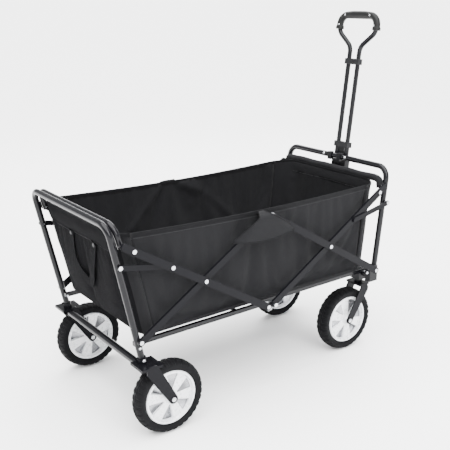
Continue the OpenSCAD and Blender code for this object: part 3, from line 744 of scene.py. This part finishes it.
# front hem: a sleeve round the front inner tube and a seamed flap below it
def sleeve_section(i, t):
    out = []
    for k in range(18):
        a = 2 * math.pi * k / 18
        out.append((0.0106 * math.cos(a), 0.0104 * math.sin(a)))
    return out


front_ys = [-0.168 + 0.336 * i / 40 for i in range(41)]
corner = [
    (MID + 0.4393, 0.2097, 0.524), (MID + 0.4397, 0.2095, 0.531),
    (MID + 0.440, 0.206, 0.538), (MID + 0.440, 0.198, 0.5415),
]
sleeve_path = [(px, -py, pz) for px, py, pz in corner]
sleeve_ys = [-0.186 + 0.372 * i / 44 for i in range(45)]
sleeve_path += [(MID + 0.440, y, 0.542 + 0.0008 * math.sin(y * 60)) for y in sleeve_ys]
sleeve_path += corner[::-1]
sleeve = sweep("front_sleeve", sleeve_path, sleeve_section, CLOTH, None)
flap_top = [Vector((MID + 0.4325, y, 0.536)) for y in front_ys]
flap_low = [Vector((front_x(0.500) + 0.001, y, 0.500 + 0.001 * math.cos(y * 25))) for y in front_ys]
front_flap = band("front_flap", flap_top, flap_low, 0.0025)
front_seam = stitches("front_flap_stitch", [p + Vector((-0.0026, 0, 0.003)) for p in flap_low])
front_trim = tape("front_top_tape", edges["front"], 0.004, 0.0014, -0.002)
thicken(front_wall, CLOTH_T)
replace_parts(front_wall, "front_panel")
for o in (front_wall, front_flap, front_seam, front_trim):
    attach(o, "front_frame")
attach(sleeve, "front_inner")


# ---------------------------------------------------------------- cloth patches over the upper middle joints
def patch(sign, label):
    """A rounded triangle of cloth: its top is sewn to the tub's edge, its foot covers the joint."""
    nu, nv = 32, 22

    def point(u, v):
        half = 0.009 + 0.100 * v
        foot = 0.4705 - 0.0125 * math.sin(math.pi * u)
        top = 0.5315
        z = top + v * (foot - top)
        x = MID - 0.0215 + (2 * u - 1) * half
        out = 0.2165 + 0.0325 * step(v, -0.06, 0.17)
        out += 0.0012 * math.sin(math.pi * u) + wrinkle(x, 5, z, 0.0015)
        out -= 0.008 * step(abs(2 * u - 1), 0.72, 1.0) * step(v, 0.3, 1.0)
        return (x, sign * max(out, 0.2165), z)
    obj = cloth_mesh("joint_patch_" + label, nu, nv, point)
    left = [obj.data.vertices[j].co.copy() for j in range(nv)]
    right = [obj.data.vertices[(nu - 1) * nv + j].co.copy() for j in range(nv)]
    foot = [obj.data.vertices[i * nv + nv - 1].co.copy() for i in range(nu)]
    line = left + foot[1:-1] + right[::-1]
    piping = sweep("patch_piping_" + label, line, lambda i, t: circle(0.0016, 8), TAPE, None)
    thicken(obj, 0.0012)
    for o in (obj, piping):
        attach(o, "upper_joints")
        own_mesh(o)
    return obj


patch_right = patch(-1, "right")
patch(1, "left")
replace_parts(patch_right, "joint_patches")


# ---------------------------------------------------------------- handle grip
def on_handle(y, s, off=0.0):
    """A point on the handle: y across it, s along it from its pivot, off behind (-) or ahead (+)."""
    x0, z0, lean = HANDLE
    along, ahead = math.sin(lean), math.cos(lean)
    return Vector((x0 + s * along + off * ahead, y, z0 + s * ahead - off * along))


GRIP_S, LOOP_W, BEND = 0.778, 0.078, 0.030
GRIP_R = 0.0108
grip_path = []
for k in range(5):
    grip_path.append((-LOOP_W, GRIP_S - BEND - 0.013 + 0.013 * k / 5))
for k in range(13):
    a = math.pi - math.pi / 2 * k / 12
    grip_path.append((-LOOP_W + BEND + BEND * math.cos(a), GRIP_S - BEND + BEND * math.sin(a)))
for k in range(1, 20):
    grip_path.append((-LOOP_W + BEND + 2 * (LOOP_W - BEND) * k / 20, GRIP_S))
grip_path += [(-y, s) for y, s in reversed(grip_path[:17])]
grip_points = [on_handle(y, s) for y, s in grip_path]


def grip_section(i, t):
    y = grip_path[i][0]
    belly = 0.0025 * (1 - step(abs(y), 0.02, 0.06))
    cuff = 0.0022 if t < 0.07 or t > 0.93 else 0.0
    out = []
    for k in range(22):
        a = 2 * math.pi * k / 22
        r = GRIP_R + cuff
        b = r * math.sin(a)
        if b < 0:
            b -= belly * abs(math.sin(a))
        out.append((r * math.cos(a) * 0.98, b))
    return out


def plane_sweep(name, pts, section, material, normal, body):
    """A sweep whose lift vector stays in the path's own plane."""
    verts = []
    n = len(pts)
    for i, p in enumerate(pts):
        t = (pts[min(i + 1, n - 1)] - pts[max(i - 1, 0)]).normalized()
        side = Vector(normal).normalized()
        lift = side.cross(t).normalized()
        ring = section(i, i / (n - 1))
        verts += [p + a * side + b * lift for a, b in ring]
    k = len(ring)
    faces = grid_faces(n, k, wrap_v=True)
    faces.append(tuple(range(k - 1, -1, -1)))
    faces.append(tuple(range((n - 1) * k, n * k)))
    return make(name, verts, faces, material, body)


normal = Vector((-math.cos(HANDLE[2]), 0, math.sin(HANDLE[2])))
grip = plane_sweep("grip_look", grip_points, grip_section, GRIP, normal, "handle_upper")
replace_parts(grip, "hand_grip")
SCREW = [(0.0001, 0.0008), (0.0022, 0.0008), (0.0030, 0.0)]
behind = on_handle(0, 0, -1) - on_handle(0, 0)
screws = ((-0.052, GRIP_S), (0.052, GRIP_S), (-0.074, GRIP_S - 0.030), (0.074, GRIP_S - 0.030))
for k, (y, s) in enumerate(screws):
    at = on_handle(y, s, -GRIP_R)
    turned(f"grip_screw_{k}", SCREW, at, behind, STEEL, "handle_upper", 16)


# ---------------------------------------------------------------- rivets that stand out on the frame
def rivet(name, x, y, z, out, body, r=0.0052):
    profile = [(0.0001, 0.0030), (0.55 * r, 0.0027), (0.85 * r, 0.0018), (r, 0.0004), (r, -0.0006)]
    return turned(name, profile, (x, y, z), out, STEEL, body, 20)


def rail_x(z):
    return MID - 0.469 + LEAN_REAR * (0.575 - z)


for sign, label in ((-1, "right"), (1, "left")):
    out = (0, sign, 0)
    rivet("foot_rivet_" + label, rail_x(0.216), sign * (LEG_Y + 0.0115), 0.216, out, "rear_frame", 0.0045)
    rivet("leg_rivet_" + label, rail_x(0.251), sign * (LEG_Y + 0.0085), 0.251, out, "rear_frame", 0.0042)
    rivet("stop_rivet_" + label, MID + 0.0055, sign * 0.2281, 0.247, out, "lower_joints", 0.0048)
    rivet("front_foot_rivet_" + label, 0.342, sign * 0.2278, 0.262, out, "front_frame", 0.0044)
for k, y in enumerate((-0.047, 0.047)):
    rivet(f"rail_rivet_{k}", MID + 0.460 - 0.008, y, 0.578, (-1, 0, 0.3), "front_frame", 0.0042)


# ---------------------------------------------------------------- stage
def plane(name, size, z, material):
    data = bpy.data.meshes.new(name)
    corners = [(-size, -size, z), (size, -size, z), (size, size, z), (-size, size, z)]
    data.from_pydata(corners, [], [(0, 1, 2, 3)])
    data.materials.append(material)
    obj = bpy.data.objects.new(name, data)
    bpy.context.collection.objects.link(obj)
    return obj


ground_mat = new_material("pale_floor", (0.93, 0.93, 0.93), 0.75)[0]
plane("ground", 150, 0.0, ground_mat)

world = bpy.data.worlds.new("studio")
world.use_nodes = True
world.node_tree.nodes["Background"].inputs["Color"].default_value = (0.98, 0.99, 1.0, 1)
coords = add(world, "ShaderNodeTexCoord")
height = add(world, "ShaderNodeSeparateXYZ")
glow = add(world, "ShaderNodeMapRange")
glow.interpolation_type = "SMOOTHERSTEP"
glow.inputs["From Max"].default_value = 0.16
glow.inputs["To Min"].default_value = 4.2
glow.inputs["To Max"].default_value = 1.0
world.node_tree.links.new(coords.outputs["Generated"], height.inputs["Vector"])
world.node_tree.links.new(height.outputs["Z"], glow.inputs["Value"])
world.node_tree.links.new(glow.outputs["Result"], world.node_tree.nodes["Background"].inputs["Strength"])
bpy.context.scene.world = world


def area_light(name, place, target, size, power):
    data = bpy.data.lights.new(name, "AREA")
    data.shape = "RECTANGLE"
    data.size, data.size_y = size
    data.energy = power
    obj = bpy.data.objects.new(name, data)
    bpy.context.collection.objects.link(obj)
    obj.location = place
    obj.rotation_euler = (Vector(target) - Vector(place)).to_track_quat("-Z", "Y").to_euler()
    return obj


area_light("key", (-0.5, -2.9, 2.2), (0, 0, 0.3), (1.8, 1.8), 150)
area_light("fill", (-2.6, 1.2, 1.6), (0, 0, 0.4), (2.0, 1.4), 8)
area_light("back", (1.8, 2.2, 2.4), (0, 0, 0.4), (2.2, 1.2), 80)
sun_data = bpy.data.lights.new("overhead", "SUN")
sun_data.energy = 14.0
sun_data.angle = math.radians(80)
sun = bpy.data.objects.new("overhead", sun_data)
bpy.context.collection.objects.link(sun)
sun.rotation_euler = Vector((0.1, 0.15, -1)).to_track_quat("-Z", "Y").to_euler()
